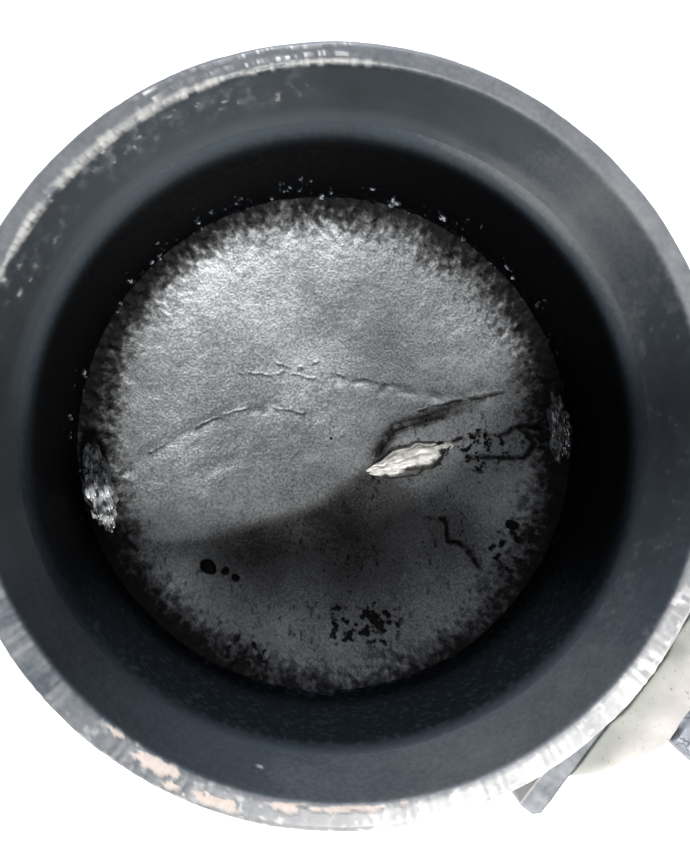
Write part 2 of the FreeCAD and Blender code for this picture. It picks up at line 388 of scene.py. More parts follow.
rimWearAndLight = dict(
    # the glaze's tone round the rim and inside, 0 for soot black to 1 for pale, with painted light and shade
    rimToneAndLight=[(-170, 0.60), (-120, 0.60), (-95, 0.58), (-70, 0.64), (-45, 0.78), (-25, 0.86), (0, 0.86),
             (15, 0.70), (45, 0.60), (80, 0.64), (110, 0.58), (140, 0.55), (170, 0.58)],
    insideToneAndLight=[(-170, 0.34), (-139, 0.27), (-100, 0.30), (-75, 0.44), (-60, 0.53), (-30, 0.58), (0, 0.54),
                (41, 0.36), (62, 0.50), (85, 0.60), (105, 0.44), (131, 0.30), (170, 0.36)],
    outsideTone=0.34, outsideClean=0.42,      # the outside is cleaner towards the foot
    bandHighlight=0.10,                            # a painted highlight on the band where the wall turns over the lining's shoulder
    ridgeTone=0.12, gritTone=0.16, blockGlint=0.42, barHighlight=0.13, fleckTone=0.24,
    rimMiddle=48.0,                           # lengths along the rim are measured at this radius
    ridgeSpacing=0.55, ridgeDepth=0.06,
    rows=(47.6, 49.0), rowWidth=0.72, blockLength=0.62, blockDepth=0.08, rowMiddle=150.0, rowHalf=15.0,
    lipRadius=46.75, lipMiddle=166.0, lipHalf=32.0, facetLength=0.9, facetDepth=0.10,
    beadRadius=49.35, beadWidth=0.28, fleckDepth=0.05,
    # chips through the glaze: bearing, half their angle, radius and half their width
    chips=[(-80.0, 4.5, 47.3, 0.9), (-69.5, 5.5, 48.6, 0.7), (-50.0, 6.5, 46.9, 0.45),
           (-86.0, 2.0, 46.8, 0.5), (-60.0, 2.0, 47.2, 0.6), (47.0, 1.2, 46.9, 0.7)],
    chipDepth=0.22,
)


def paintedShoulderHighlight(bearing):
    # a painted highlight where the lining's shoulder faces the light, strongest on the far side
    farSide, rightSide = sector(bearing, 158.0, 44.0, 34.0), sector(bearing, 60.0, 32.0, 26.0)
    return rimWearAndLight["bandHighlight"] * (farSide + 0.5 * rightSide)


def smokedPorcelain():
    # hard porcelain, thrown and glazed, smoked black in the fire: a slate-grey satin skin, paler where it is
    # rubbed, with pinkish-cream biscuit where the rim has chipped and an off-white foot that was never glazed
    # its tone and its pale marks also carry painted light and shade, and a painted highlight on the outer
    # bead
    material, tree, shader, place = startMaterial("smokedPorcelainGlaze", {"IOR": 1.5, "Metallic": 0.0})
    speckle = addNode(tree, "TexNoise", {"Scale": perMetre(0.7), "Detail": 4.0}, {"Vector": place})
    cloud = addNode(tree, "TexNoise", {"Scale": perMetre(6.0), "Detail": 3.0}, {"Vector": place})
    speckleShift = addNode(tree, "MapRange", {**midRange, "To Min": -0.02, "To Max": 0.02},
                           {"Value": speckle})
    cloudShift = addNode(tree, "MapRange", {**midRange, "To Min": -0.02, "To Max": 0.02}, {"Value": cloud})
    tone = addNode(tree, "Attribute", {"attribute_name": "tone"}).outputs["Fac"]
    uneven = addNode(tree, "Math", {"operation": "ADD"}, {0: speckleShift, 1: cloudShift})
    toneAndShade = addNode(tree, "Math", {"operation": "ADD"}, {0: tone, 1: uneven})
    glaze = addNode(tree, "ValToRGB", None, {"Fac": toneAndShade}, [
        (0.0, "#06080A"), (0.25, "#191F23"), (0.5, "#444B51"), (0.75, "#88898A"), (1.0, "#CDCDCC")])
    worn = addNode(tree, "Attribute", {"attribute_name": "worn"}).outputs["Fac"]
    rubbed = addNode(tree, "Mix", {"data_type": "RGBA", 7: toLinear("#BBBAB6")}, {0: worn, 6: glaze})
    bare = addNode(tree, "Attribute", {"attribute_name": "biscuit"}).outputs["Fac"]
    biscuit = addNode(tree, "Mix", {"data_type": "RGBA", 6: toLinear("#A79B94"), 7: toLinear("#C6BCB4")},
                      {0: speckle})
    chipped = addNode(tree, "Mix", {"data_type": "RGBA"}, {0: bare, 6: rubbed, 7: biscuit})
    satin = addNode(tree, "MapRange", {**midRange, "To Min": 0.38, "To Max": 0.54}, {"Value": speckle})
    dry = addNode(tree, "Mix", {"data_type": "FLOAT", 3: 0.85}, {0: bare, 2: satin})
    bump = addNode(tree, "Bump", {"Strength": 0.5, "Distance": 0.05 * metre}, {"Height": speckle})
    join(tree, shader, {"Base Color": chipped, "Roughness": dry, "Normal": bump})
    return material


def makeCrucible():
    grid = ringsFrom(bodyProfile(), vessel["columns"])
    normals = vertexNormals(grid).reshape(-1, 3)
    points = grid.reshape(-1, 3)
    radius, bearing, height = polar(points)
    rimTop = fade(height, 49.0, 49.7) * fade(radius, 46.3, 46.7)
    rim = np.maximum(rimTop, fade(radius, 49.3, 49.8) * fade(height, 43.9, 44.3))
    behindWall = radius - wallRadius(0.0) - height * math.tan(taper)
    outside = (1.0 - fade(height, 43.6, 44.1)) * fade(behindWall, 1.0, 1.5)
    inside = (1.0 - outside) * (1.0 - rim)
    alongRim = np.radians(bearing) * rimWearAndLight["rimMiddle"]
    # the rim's and the inside's tone by bearing: painted light and shade over the glaze's own tone
    tone = rim * around(bearing, rimWearAndLight["rimToneAndLight"]) + inside * around(bearing, rimWearAndLight["insideToneAndLight"])
    tone += outside * rimWearAndLight["outsideTone"]
    tone += inside * paintedShoulderHighlight(bearing) * (1.0 - fade(height, 38.5, 41.5))
    tone += rim * (0.05 - 0.03 * sector(bearing, 160.0, 50.0, 20.0)) * layeredNoise(points, 3.5, 3, 2)

    # fine ridges run across the rim, worn away in places
    unrolled = np.stack([alongRim, radius * 0.10, height * 0.10], axis=1)
    ridge = layeredNoise(unrolled, rimWearAndLight["ridgeSpacing"], 2, 3)
    ridged = sector(bearing, -105.0, 34.0, 20.0) + sector(bearing, -12.0, 34.0, 14.0)
    ridged = np.clip(ridged, 0.0, 1.0) * rim * fade(layeredNoise(points, 7.0, 2, 5), -0.4, 0.2)
    tone += rimWearAndLight["ridgeTone"] * ridge * ridged
    grit = fade(layeredNoise(points, 0.9, 2, 7), 0.18, 0.5) * rim * sector(bearing, -40.0, 48.0, 14.0)
    tone += rimWearAndLight["gritTone"] * grit

    # two broken rows of little facets on the far side, drawn brighter than the rim: painted glints
    step = rimWearAndLight["blockLength"]
    facetAndGlint = np.zeros(len(points))
    for row, at in enumerate(rimWearAndLight["rows"]):
        place = alongRim / step + 0.37 * row + 0.5 * smoothNoise(points, 2.6, 14 + row)
        here = lattice(np.floor(place), radius * 0 + row, radius * 0, 11)
        across = at + 0.35 * smoothNoise(points, 3.0, 12 + row)
        block = fade(0.48 - np.abs(place % 1.0 - 0.5), 0.0, 0.16)
        block = block * fade(rimWearAndLight["rowWidth"] / 2.0 - np.abs(radius - across), -0.06, 0.12)
        facetAndGlint = np.maximum(facetAndGlint, block * fade(here, 0.2, 0.8))
    facetAndGlint *= sector(bearing, rimWearAndLight["rowMiddle"], rimWearAndLight["rowHalf"], 4.0) * rimTop
    tone += rimWearAndLight["blockGlint"] * facetAndGlint * fade(layeredNoise(points, 4.0, 2, 17), -0.8, 0.1)

    # the inner lip is rubbed pale there and broken into facets
    place = alongRim / rimWearAndLight["facetLength"] + 0.9 * layeredNoise(points, 3.4, 2, 15)
    facet = lattice(np.floor(place), radius * 0, radius * 0, 13)
    split = fade(np.abs(place % 1.0 - 0.5) * 2.0, 0.72, 1.0)
    lipWidth = 0.30 + 0.26 * (facet - 0.5) + 0.38 * sector(bearing, 177.0, 10.0, 12.0)
    lipHere = sector(bearing, rimWearAndLight["lipMiddle"], rimWearAndLight["lipHalf"], 10.0)
    lip = np.exp(-((radius - rimWearAndLight["lipRadius"]) / lipWidth) ** 4) * fade(height, 48.7, 49.4)
    worn = lip * lipHere * (0.30 + 0.5 * facet) * (1.0 - 0.5 * split)
    worn *= fade(layeredNoise(points, 1.5, 3, 16), -0.5, 0.2)

    # chips through the glaze
    ragged = 0.8 * layeredNoise(points, 2.2, 3, 21) + 0.7 * layeredNoise(points, 0.9, 2, 22)
    chip = np.zeros(len(points))
    for middle, halfAngle, at, halfWidth in rimWearAndLight["chips"]:
        off = np.abs((bearing - middle + 180.0) % 360.0 - 180.0) / halfAngle
        spread = np.hypot(off, (radius - at) / halfWidth) + ragged
        chip = np.maximum(chip, 1.0 - fade(spread, 0.85, 1.0))
    chip *= fade(height, 48.4, 49.3) * rim

    # bars and a bright outer bead where the light falls hardest on the rim: painted highlight
    litStretch = sector(bearing, -14.0, 26.0, 12.0)
    outerBead = np.exp(-((radius - rimWearAndLight["beadRadius"]) / rimWearAndLight["beadWidth"]) ** 2)
    outerBead *= fade(height, 48.8, 49.5)
    worn = np.maximum(worn, outerBead * litStretch * 0.7 * fade(layeredNoise(points, 2.6, 2, 33), -0.7, 0.1))
    tone += rimWearAndLight["barHighlight"] * rimTop * litStretch * fade(ridge, 0.05, 0.35) * fade(radius, 46.8, 47.6)

    # fine pale flecks on the wall below the rubbed lip, and a few on the handle's side
    flecked = sector(bearing, 176.0, 30.0, 12.0) * fade(height, 40.0, 46.0)
    flecked += 0.25 * sector(bearing, 35.0, 26.0, 14.0)
    upright = points * np.array([1.0, 1.0, 0.7])
    fleck = fade(layeredNoise(upright, 1.3, 3, 35), -0.15, 0.5)
    fleck *= fade(layeredNoise(points, 5.0, 2, 36), -0.6, 0.1)
    fleck *= inside * flecked
    tone += rimWearAndLight["fleckTone"] * fleck
    worn = np.maximum(worn, fleck * fade(layeredNoise(upright, 0.8, 2, 38), 0.40, 0.7))
    spot = np.hypot(bearing + 64.0, (height - 43.0) * 1.3)              # one pale speck stands alone
    worn = np.maximum(worn, 0.8 * inside * (1.0 - fade(spot, 0.35, 0.75)))

    shift = rim * (0.08 * layeredNoise(points, 5.0, 3, 41) + 0.025 * layeredNoise(points, 0.9, 2, 43) - 0.14)
    shift += rimWearAndLight["ridgeDepth"] * ridge * ridged + rimWearAndLight["blockDepth"] * facetAndGlint
    shift += lipHere * lip * rimWearAndLight["facetDepth"] * (facet - 0.5 - split)
    shift -= rimWearAndLight["chipDepth"] * chip * (0.8 + 0.4 * smoothNoise(points, 0.8, 51))
    shift += rimWearAndLight["fleckDepth"] * fleck
    shift += (1.0 - rim) * (0.05 * layeredNoise(points, 8.0, 2, 61) - 0.05) * fade(height, 2.5, 4.0)
    points = points + normals * shift[:, None]
    # nothing reaches past the rim's own edges
    moved = np.maximum(np.hypot(points[:, 0], points[:, 1]), 1.0)
    points[:, :2] *= np.minimum(1.0, vessel["rimRadius"] * 0.9995 / moved)[:, None]
    points[:, 2] = np.clip(points[:, 2], 0.0, vessel["height"])

    clean = outside * fade(20.0 - height + 7.0 * layeredNoise(points, 14.0, 3, 71), 0.0, 12.0)
    tone += clean * (rimWearAndLight["outsideClean"] + 0.16 * layeredNoise(points, 9.0, 3, 73))
    bare = np.maximum(chip, outside * fade(1.0 - height, 0.0, 0.6))
    piece = turnedMesh("crucible", points.reshape(grid.shape), dict(tone=tone, worn=worn, biscuit=bare))
    fit(piece, "crucible", "smoked_porcelain", smokedPorcelain(), "crucible_body")


makeCrucible()
print("crucible body is turned")


baked = dict(
    # how far out the grey crust reaches before the soot takes over, round the vessel
    reach=[(-170, 43.4), (-120, 42.4), (-95, 42.6), (-55, 45.4), (-25, 44.8), (15, 43.2), (50, 41.6),
           (90, 43.0), (130, 44.2), (165, 44.0)],
    feather=8.5,
    soot=0.0,
    dustAndBounceLight=0.22, dustSpecks=0.07,                               # a paler, speckled stretch of the coat: dust specks and painted bounce light
    crisp=dict(middle=-49.0, half=44.0, softness=50.0),           # where the lining's top edge stays sharp
)


def sootLine(points, outwards, bearing):
    # 1 on the grey crust and 0 in the soot beyond it; the same pattern runs on from the crust up the lining
    ragged = outwards + 1.8 * layeredNoise(points, 7.0, 2, 283) + 3.0 * layeredNoise(points, 0.75, 3, 285)
    edge = around(bearing, baked["reach"])
    return 1.0 - fade(ragged, edge - baked["feather"], edge)


def bakedCarbon():
    # soot and oil baked on in layers: near black with a blue cast, satin, and glassy on its crumbs
    material, tree, shader, place = startMaterial("bakedCarbon", {"IOR": 1.5, "Specular IOR Level": 0.06})
    grain = addNode(tree, "TexNoise", {"Scale": perMetre(0.8), "Detail": 4.0}, {"Vector": place})
    uneven = addNode(tree, "MapRange", {**midRange, "To Min": -0.02, "To Max": 0.02}, {"Value": grain})
    tone = addNode(tree, "Attribute", {"attribute_name": "tone"}).outputs["Fac"]
    coat = addNode(tree, "Math", {"operation": "ADD"}, {0: tone, 1: uneven})
    soot = addNode(tree, "ValToRGB", None, {"Fac": coat}, [
        (0.0, "#010102"), (0.12, "#06080B"), (0.25, "#191F23"), (0.5, "#444B51"), (0.75, "#88898A"),
        (1.0, "#CDCDCC")])
    satin = addNode(tree, "MapRange", {**midRange, "To Min": 0.5, "To Max": 0.7}, {"Value": grain})
    bump = addNode(tree, "Bump", {"Strength": 0.5, "Distance": 0.08 * metre}, {"Height": grain})
    join(tree, shader, {"Base Color": soot, "Roughness": satin, "Normal": bump})
    return material


def makeLining():
    top = vessel["height"] - lining["depth"]
    thick = lining["thickness"]
    front = cornerPoints(-thick, vessel["floor"] + thick, vessel["innerCorner"] - thick, 8)
    back = cornerPoints(0.0, vessel["floor"], vessel["innerCorner"], 8)
    profile = [(1.0, vessel["floor"] + thick)]
    runTo(profile, front[-1], 8.0)
    profile += front[::-1][1:]
    runTo(profile, (wallRadius(profile[-1][1] + 0.5, -thick), profile[-1][1] + 0.5), 0.3)
    for z in np.arange(profile[-1][1] + 0.3, top, 0.3):
        profile.append((wallRadius(z, 0.12 - (thick + 0.12) * fade(top - z, -0.2, lining["shoulder"])), z))
    profile.append((wallRadius(top, 0.14), top))
    runTo(profile, back[0], 6.0)
    profile += back[1:]
    profile += [(1.0, vessel["floor"])]
    grid = ringsFrom(profile, lining["columns"])
    normals = vertexNormals(grid).reshape(-1, 3)
    points = grid.reshape(-1, 3)
    radius, bearing, height = polar(points)
    inFront = fade(wallRadius(0.0) + height * math.tan(taper) - radius, 0.05, 0.5) * fade(height, 12.0, 15.0)
    above = height - crust["edge"]
    # crumbs of slag stick to the coat just above the crust, most of all on the far side
    crusted = 0.25 + 0.75 * sector(bearing, 155.0, 70.0, 30.0)
    crumbAndGlint = fade(layeredNoise(points, 1.25, 2, 105) - 0.045 * np.abs(above), 0.22, 0.5)
    crumbAndGlint = crumbAndGlint * crusted * (1.0 - fade(above, 5.0, 12.0))
    shift = 0.08 * layeredNoise(points, 6.0, 3, 101) + 0.03 * layeredNoise(points, 1.1, 2, 103) + 0.4 * crumbAndGlint
    shift *= inFront
    grey = sootLine(points, wallRadius(crust["edge"], -thick) + above, bearing)
    # the near side of the coat is painted paler towards its top: painted bounce light
    tone = baked["soot"] + baked["dustAndBounceLight"] * sector(bearing, -50.0, 45.0, 30.0) * fade(above, 0.0, 8.0)
    tone = tone + (0.6 - tone) * grey
    dusty = sector(bearing, -50.0, 50.0, 30.0) * fade(above, -1.0, 3.0) * inFront
    tone += baked["dustSpecks"] * dusty * fade(layeredNoise(points, 0.6, 2, 109), 0.0, 0.5)
    crisp = sector(bearing, baked["crisp"]["middle"], baked["crisp"]["half"], baked["crisp"]["softness"])
    # the coat's top blends into the glaze's tone, with its painted light and shade and painted shoulder
    # highlight
    glazeAndLight = around(bearing, rimWearAndLight["insideToneAndLight"]) + paintedShoulderHighlight(bearing)
    feathered = (1.0 - crisp) * fade(height, top - 6.5, top - 0.8) + crisp * fade(height, top - 3.4, top)
    # a little more painted highlight on the far side's shoulder
    lifted = glazeAndLight + 0.05 * sector(bearing, 158.0, 50.0, 30.0)
    tone = tone + (lifted - tone) * feathered
    # the crumbs are drawn pale: painted glints
    tone = np.maximum(tone, 0.85 * crumbAndGlint * fade(layeredNoise(points, 0.9, 2, 107), -0.2, 0.3))
    points = points + normals * shift[:, None]
    piece = turnedMesh("carbonLining", points.reshape(grid.shape), dict(tone=tone))
    fit(piece, "crucible", "carbon_coat", bakedCarbon(), "carbon_lining")


makeLining()
print("carbon lining is baked on")


seam = dict(
    route=[(-24.0, -52.0), (-14.0, -36.6), (-4.3, -26.6), (6.0, -10.0), (8.0, 1.0), (7.0, 9.0), (17.4, 26.1),
           (36.0, 46.0)],
    lip=1.5, drop=0.8, reach=2.4,         # how far one edge lifts and the other sinks, and from how far off
    wander=0.5, thickness=1.3,
    shade=0.26,                           # how much darker the painted rim shadow beside the closed stretch is
)
crustMarks = dict(
    # low ridges: a route, how high, how wide
    ridges=[
        ([(-22.0, -27.0), (-20.5, -20.0), (-18.5, -13.0), (-15.0, -6.5), (-10.9, -1.6), (-5.0, 1.0)],
         0.26, 1.5),
        ([(-14.0, -20.0), (-9.0, -12.0), (-2.0, -5.0), (3.0, 0.0)], 0.14, 1.5),
        ([(-6.0, 8.6), (-3.6, 10.2), (-1.6, 12.0), (0.8, 12.6), (2.2, 14.6), (5.8, 15.8), (9.2, 18.2)],
         0.34, 0.9),
        ([(9.2, 18.2), (14.0, 24.0), (20.0, 30.0), (26.0, 36.0)], 0.28, 1.2),
    ],
    # fine cracks: a route, how deep, how wide
    cracks=[
        ([(-21.4, -23.0), (-19.6, -15.0), (-16.2, -8.0), (-12.0, -3.0), (-7.0, 0.2)], 0.20, 0.30),
        ([(-20.0, -2.0), (-16.0, 0.6), (-13.0, 4.4), (-9.5, 6.0)], 0.20, 0.22),
        ([(-16.5, 3.0), (-13.2, 5.0), (-11.0, 8.6)], 0.24, 0.22),
        ([(-6.4, 9.6), (-3.9, 11.0), (-1.9, 12.8), (0.6, 14.0)], 0.26, 0.26),
        ([(8.6, 14.6), (13.4, 21.2), (19.6, 29.2)], 0.34, 0.30),
        ([(22.6, 0.4), (25.0, 3.0), (28.0, 0.0), (31.0, 1.6), (35.0, 0.0)], 0.5, 0.34),
        ([(21.0, 14.3), (25.0, 17.6), (28.4, 20.6), (28.2, 24.0), (25.0, 24.6)], 0.5, 0.42),
        ([(17.0, 15.0), (21.0, 20.0), (26.0, 26.0), (30.0, 31.0)], 0.4, 0.36),
    ],
    # pits: place, size and depth
    pits=[(-1.2, -30.8, 1.25, 1.2), (1.6, -29.6, 0.5, 0.5), (3.4, -29.2, 0.6, 0.5), (36.6, 8.4, 0.7, 0.5),
          (34.6, 9.8, 0.9, 0.4)],
    # clusters of black crumbs: place, spread and how thick they lie
    crumbs=[(27.4, -18.8, 3.6, 0.50), (23.0, -23.0, 3.0, 0.25), (37.0, 6.0, 3.6, 0.26),
            (22.0, 17.0, 4.0, 0.14), (29.0, 26.0, 4.0, 0.22), (16.4, 11.0, 2.0, 0.26),
            (14.0, -37.5, 4.0, 0.25)],
    # paler or darker clouds: the crust's own tone, painted sheen and painted shadow; place, spread, how much
    toneAndLightClouds=[(-31.0, 5.0, 15.0, 0.20), (-24.0, 27.0, 8.0, 0.07), (-14.0, 8.0, 12.0, 0.17),
            (-18.0, -20.0, 9.0, 0.10), (17.0, -12.0, 10.0, -0.30), (4.0, -24.0, 7.0, -0.20),
            (27.0, 2.0, 8.0, -0.16), (-4.0, -37.0, 6.0, 0.16), (33.0, 15.0, 6.0, 0.10),
            (22.0, -31.0, 7.0, -0.04), (30.0, 30.0, 8.0, -0.18), (4.0, 34.0, 7.0, 0.06)],
    plainTone=0.63, grainy=0.05,
)


def crustHeight(radius):
    edgeRadius = wallRadius(crust["edge"], -lining["thickness"])
    run = edgeRadius - crust["flat"]
    rise = crust["edge"] - crust["middle"]
    dish = (run * run + rise * rise) / (2.0 * rise)
    across = np.clip(radius - crust["flat"], 0.0, dish)
    return crust["middle"] + dish - np.sqrt(dish * dish - across * across)


def seamAt(y):
    return np.interp(y, [stop[1] for stop in seam["route"]], [stop[0] for stop in seam["route"]])


def plateMarks(points, upper):
    # how the crust's surface rises and falls, how pale it is and how much it shines
    x, y = points[:, 0], points[:, 1]
    radius, bearing = polar(points)[:2]
    side = x - seamAt(y)
    gaping = fade(y, -1.0, 6.0) * (1.0 - fade(y, 16.0, 27.0))     # the seam gapes only beside the bead
    height = 0.40 * layeredNoise(points, 15.0, 2, 201) + 0.10 * layeredNoise(points, 4.0, 3, 203)
    tone = crustMarks["plainTone"] + 0.07 * layeredNoise(points, 9.0, 3, 204)
    tone += 0.05 * layeredNoise(points, 2.2, 3, 206)
    # paler clouds on the far side are painted sheen, darker ones below the seam painted shadow
    for cloudX, cloudY, spread, amount in crustMarks["toneAndLightClouds"]:
        away = ((x - cloudX) ** 2 + (y - cloudY) ** 2) / spread ** 2
        tone += amount * np.exp(-away)
    near = np.exp(-np.abs(side) / seam["reach"])
    # below the closed stretch the crust is drawn darker: painted shadow of the rim
    rimShadowed = fade(y, -42.0, -20.0) * (1.0 - fade(y, -2.0, 7.0)) * fade(side, -1.0, 2.2)
    tone -= seam["shade"] * rimShadowed * np.exp(-(side / 9.0) ** 2)
    height += (seam["lip"] if upper else -seam["drop"]) * near * gaping
    patchy = fade(layeredNoise(points, 4.0, 2, 223), -0.6, 0.2)
    stray = 0.7 * layeredNoise(points, 2.4, 3, 221)
    for route, rise, width in crustMarks["ridges"]:
        away = offRoute(x, y, route) + stray
        height += rise * patchy * np.exp(-(away / width) ** 2)
    broken = fade(layeredNoise(points, 1.7, 3, 253), -0.8, 0.2)
    for route, depth, width in crustMarks["cracks"]:
        away = np.abs(offRoute(x, y, route) + stray)
        line = broken * np.exp(-(away / width) ** 2)
        height -= depth * line
        # the cracks are drawn darker too: painted shade
        tone -= 0.9 * depth * line
    fineSpots = layeredNoise(points, 0.8, 3, 261)
    for spotX, spotY, spread, amount in crustMarks["crumbs"]:
        cloud = np.exp(-((x - spotX) ** 2 + (y - spotY) ** 2) / spread ** 2)
        spots = fade(fineSpots + 0.9 * amount * cloud, 0.34, 0.46) * fade(cloud, 0.15, 0.5)
        height -= 0.22 * spots
        tone -= 0.6 * spots
    if not upper:
        slanted = np.stack([x * 0.66 - y * 0.75, (x * 0.75 + y * 0.66) * 2.2, x * 0.0], axis=1)
        tone -= 0.22 * fade(layeredNoise(slanted, 1.3, 3, 263), 0.50, 0.62)
    for pitX, pitY, size, depth in crustMarks["pits"]:
        away = np.hypot(x - pitX, y - pitY) + 0.5 * layeredNoise(points, 1.4, 3, 271)
        inPit = 1.0 - fade(away, size * 0.7, size * 1.15)
        # the pits are drawn dark: painted shade
        height -= depth * inPit
        tone -= 0.9 * inPit
    # a dark hollow under the lifted lip beside the gaping seam: painted shadow
    hoodShadow = np.exp(-((side - 0.4) / 1.1) ** 2) * fade(y, 1.0, 5.0) * (1.0 - fade(y, 15.0, 24.0))
    tone -= 0.5 * hoodShadow * fade(layeredNoise(points, 1.6, 3, 275), -0.9, -0.1)
    shine = fade(-side + 4.0 * layeredNoise(points, 7.0, 2, 287), 0.0, 14.0)
    lumps = fade(radius + 3.0 * layeredNoise(points, 7.0, 2, 277), 33.0, 41.0) * (0.35 + 0.65 * shine)
    height += lumps * (0.36 * layeredNoise(points, 1.3, 3, 281) + 0.15 * layeredNoise(points, 4.0, 2, 282))
    height += crustMarks["grainy"] * layeredNoise(points, 0.9, 2, 211) * (0.4 + 0.6 * shine)
    kept = sootLine(points, radius, bearing)
    return height, np.clip(tone, 0.0, 1.0) * kept, shine * kept


def makePlate(name, upper, node, material):
    edgeRadius = wallRadius(crust["edge"], -lining["thickness"])
    rings = np.concatenate([[0.25], np.linspace(0.6, edgeRadius + 0.25, 200)])
    columns = 960
    turn = np.linspace(0.0, 2.0 * math.pi, columns, endpoint=False)
    x = rings[:, None] * np.cos(turn)
    y = rings[:, None] * np.sin(turn)
    base = crustHeight(np.minimum(np.hypot(x, y), edgeRadius))
    points = np.stack([x, y, base * 0.0], axis=2).reshape(-1, 3)
    height, tone, shine = plateMarks(points, upper)
    side = points[:, 0] - seamAt(points[:, 1]) + seam["wander"] * layeredNoise(points, 2.4, 3, 291)
    points[:, 2] = base.reshape(-1) + height
    keep = side < 0.0 if upper else side >= 0.0
    keep = keep.reshape(len(rings), columns)
    faces = []
    for ring in range(len(rings) - 1):
        start, outer = ring * columns, (ring + 1) * columns
        for column in range(columns):
            if keep[ring, column]:
                after = (column + 1) % columns
                faces.append((start + column, outer + column, outer + after, start + after))
    used = np.unique(faces)
    renumber = np.full(len(points), -1)
    renumber[used] = np.arange(len(used))
    faces = renumber[np.array(faces)].tolist()
    piece = meshFrom(name, points[used], faces, dict(tone=tone[used], shine=shine[used]))
    solid = piece.modifiers.new("solid", "SOLIDIFY")
    solid.thickness = seam["thickness"] * metre
    solid.offset = -1.0
    settle(piece)
    piece.data.set_sharp_from_angle(angle=math.radians(55.0))
    fit(piece, "crucible", "slag_crust", material, node)


def bakedSlag():
    # slag that has melted, set and been smoked: grey with a dull metallic sheen where it is grainy,
    # dusty and matt where the surface is smooth; the pits and cracks are drawn dark as painted shade
    material, tree, shader, place = startMaterial("smokedSlag", {
        "IOR": 1.5, "Metallic": 0.45, "Specular IOR Level": 0.22})
    # the real grit is finer than this; it is drawn as coarse as shows
    grit = addNode(tree, "TexNoise", {"Scale": perMetre(0.42), "Detail": 3.0}, {"Vector": place})
    uneven = addNode(tree, "MapRange", {**midRange, "To Min": -0.11, "To Max": 0.11}, {"Value": grit})
    tone = addNode(tree, "Attribute", {"attribute_name": "tone"}).outputs["Fac"]
    shine = addNode(tree, "Attribute", {"attribute_name": "shine"}).outputs["Fac"]
    shade = addNode(tree, "Math", {"operation": "ADD"}, {0: tone, 1: uneven})
    slag = addNode(tree, "ValToRGB", None, {"Fac": shade}, [
        (0.0, "#010101"), (0.12, "#040405"), (0.25, "#1D1D1E"), (0.5, "#4B4C4D"), (0.75, "#828587"),
        (1.0, "#C6C8CA")])
    matt = addNode(tree, "MapRange", {"To Min": 0.66, "To Max": 0.44}, {"Value": shine})
    patchy = addNode(tree, "Math", {"operation": "ADD"}, {0: matt, 1: uneven})
    rough = addNode(tree, "MapRange", {"To Min": 0.35, "To Max": 0.9}, {"Value": shine})
    bump = addNode(tree, "Bump", {"Distance": 0.12 * metre}, {"Height": grit, "Strength": rough})
    join(tree, shader, {"Base Color": slag, "Roughness": patchy, "Normal": bump})
    return material


slagMaterial = bakedSlag()
makePlate("upperCrustPlate", True, "upper_crust_plate", slagMaterial)
makePlate("lowerCrustPlate", False, "lower_crust_plate", slagMaterial)
print("crust plates are set")


clinkers = [
    dict(name="leftClinker", node="left_clinker", bearing=-124.8, reach=39.2, height=19.2,
         size=(16.5, 4.6, 6.6), seed=301, glintFrom=-1.5),
    dict(name="rightClinker", node="right_clinker", bearing=43.8, reach=39.8, height=18.2,
         size=(12.5, 4.2, 5.2), seed=331, glintFrom=9.0),
]
bead = dict(place=(13.6, 6.9), size=(18.0, 5.8, 2.8), bearing=58.0, sunk=0.25, seed=351)


def lump(size, seed, rough, pitted):
    # a knobbly lump, lying along its own X, before it is put in place
    work = bmesh.new()
    bmesh.ops.create_icosphere(work, subdivisions=6, radius=1.0)
    points = np.array([vertex.co[:] for vertex in work.verts])
    faces = [[vertex.index for vertex in face.verts] for face in work.faces]
    work.free()
    crease = 1.0 - 2.0 * np.abs(layeredNoise(points * 10.0, 4.5, 3, seed + 5))
    grown = 1.0 + rough * layeredNoise(points * 10.0, 8.0, 3, seed) - pitted * crease
    points = points * grown[:, None] * (np.array(size) / 2.0)
    return points, faces


def placed(name, points, faces, centre, bearing, marks):
    turn = math.radians(bearing)
    x = points[:, 0] * math.cos(turn) - points[:, 1] * math.sin(turn) + centre[0]
    y = points[:, 0] * math.sin(turn) + points[:, 1] * math.cos(turn) + centre[1]
    z = points[:, 2] + centre[2]
    # nothing pushes into the wall behind it
    limit = wallRadius(0.0, -lining["thickness"] * 0.5) + z * math.tan(taper)
    scale = np.minimum(1.0, limit / np.maximum(np.hypot(x, y), 1e-6))
    return meshFrom(name, np.stack([x * scale, y * scale, z], axis=1), faces, marks)


def glassyClinker():
    # glassy slag, quenched against the wall: near black with sharp wet-looking highlights, and painted pale
    # highlights at one end
    material, tree, shader, place = startMaterial("glassyClinker", {
        "IOR": 1.52, "Metallic": 0.2, "Coat Weight": 0.7, "Coat Roughness": 0.1})
    grain = addNode(tree, "TexNoise", {"Scale": perMetre(0.9), "Detail": 4.0}, {"Vector": place})
    glass = addNode(tree, "ValToRGB", None, {"Fac": grain}, [(0.35, "#060607"), (0.62, "#3C3F43")])
    paintedGlint = addNode(tree, "Attribute", {"attribute_name": "paintedGlint"}).outputs["Fac"]
    colour = addNode(tree, "Mix", {"data_type": "RGBA", 7: toLinear("#B2B4B6")}, {0: paintedGlint, 6: glass})
    join(tree, shader, {"Base Color": colour, **grainySkin(tree, grain, 0.18, 0.42, 0.7, 0.12)})
    return material


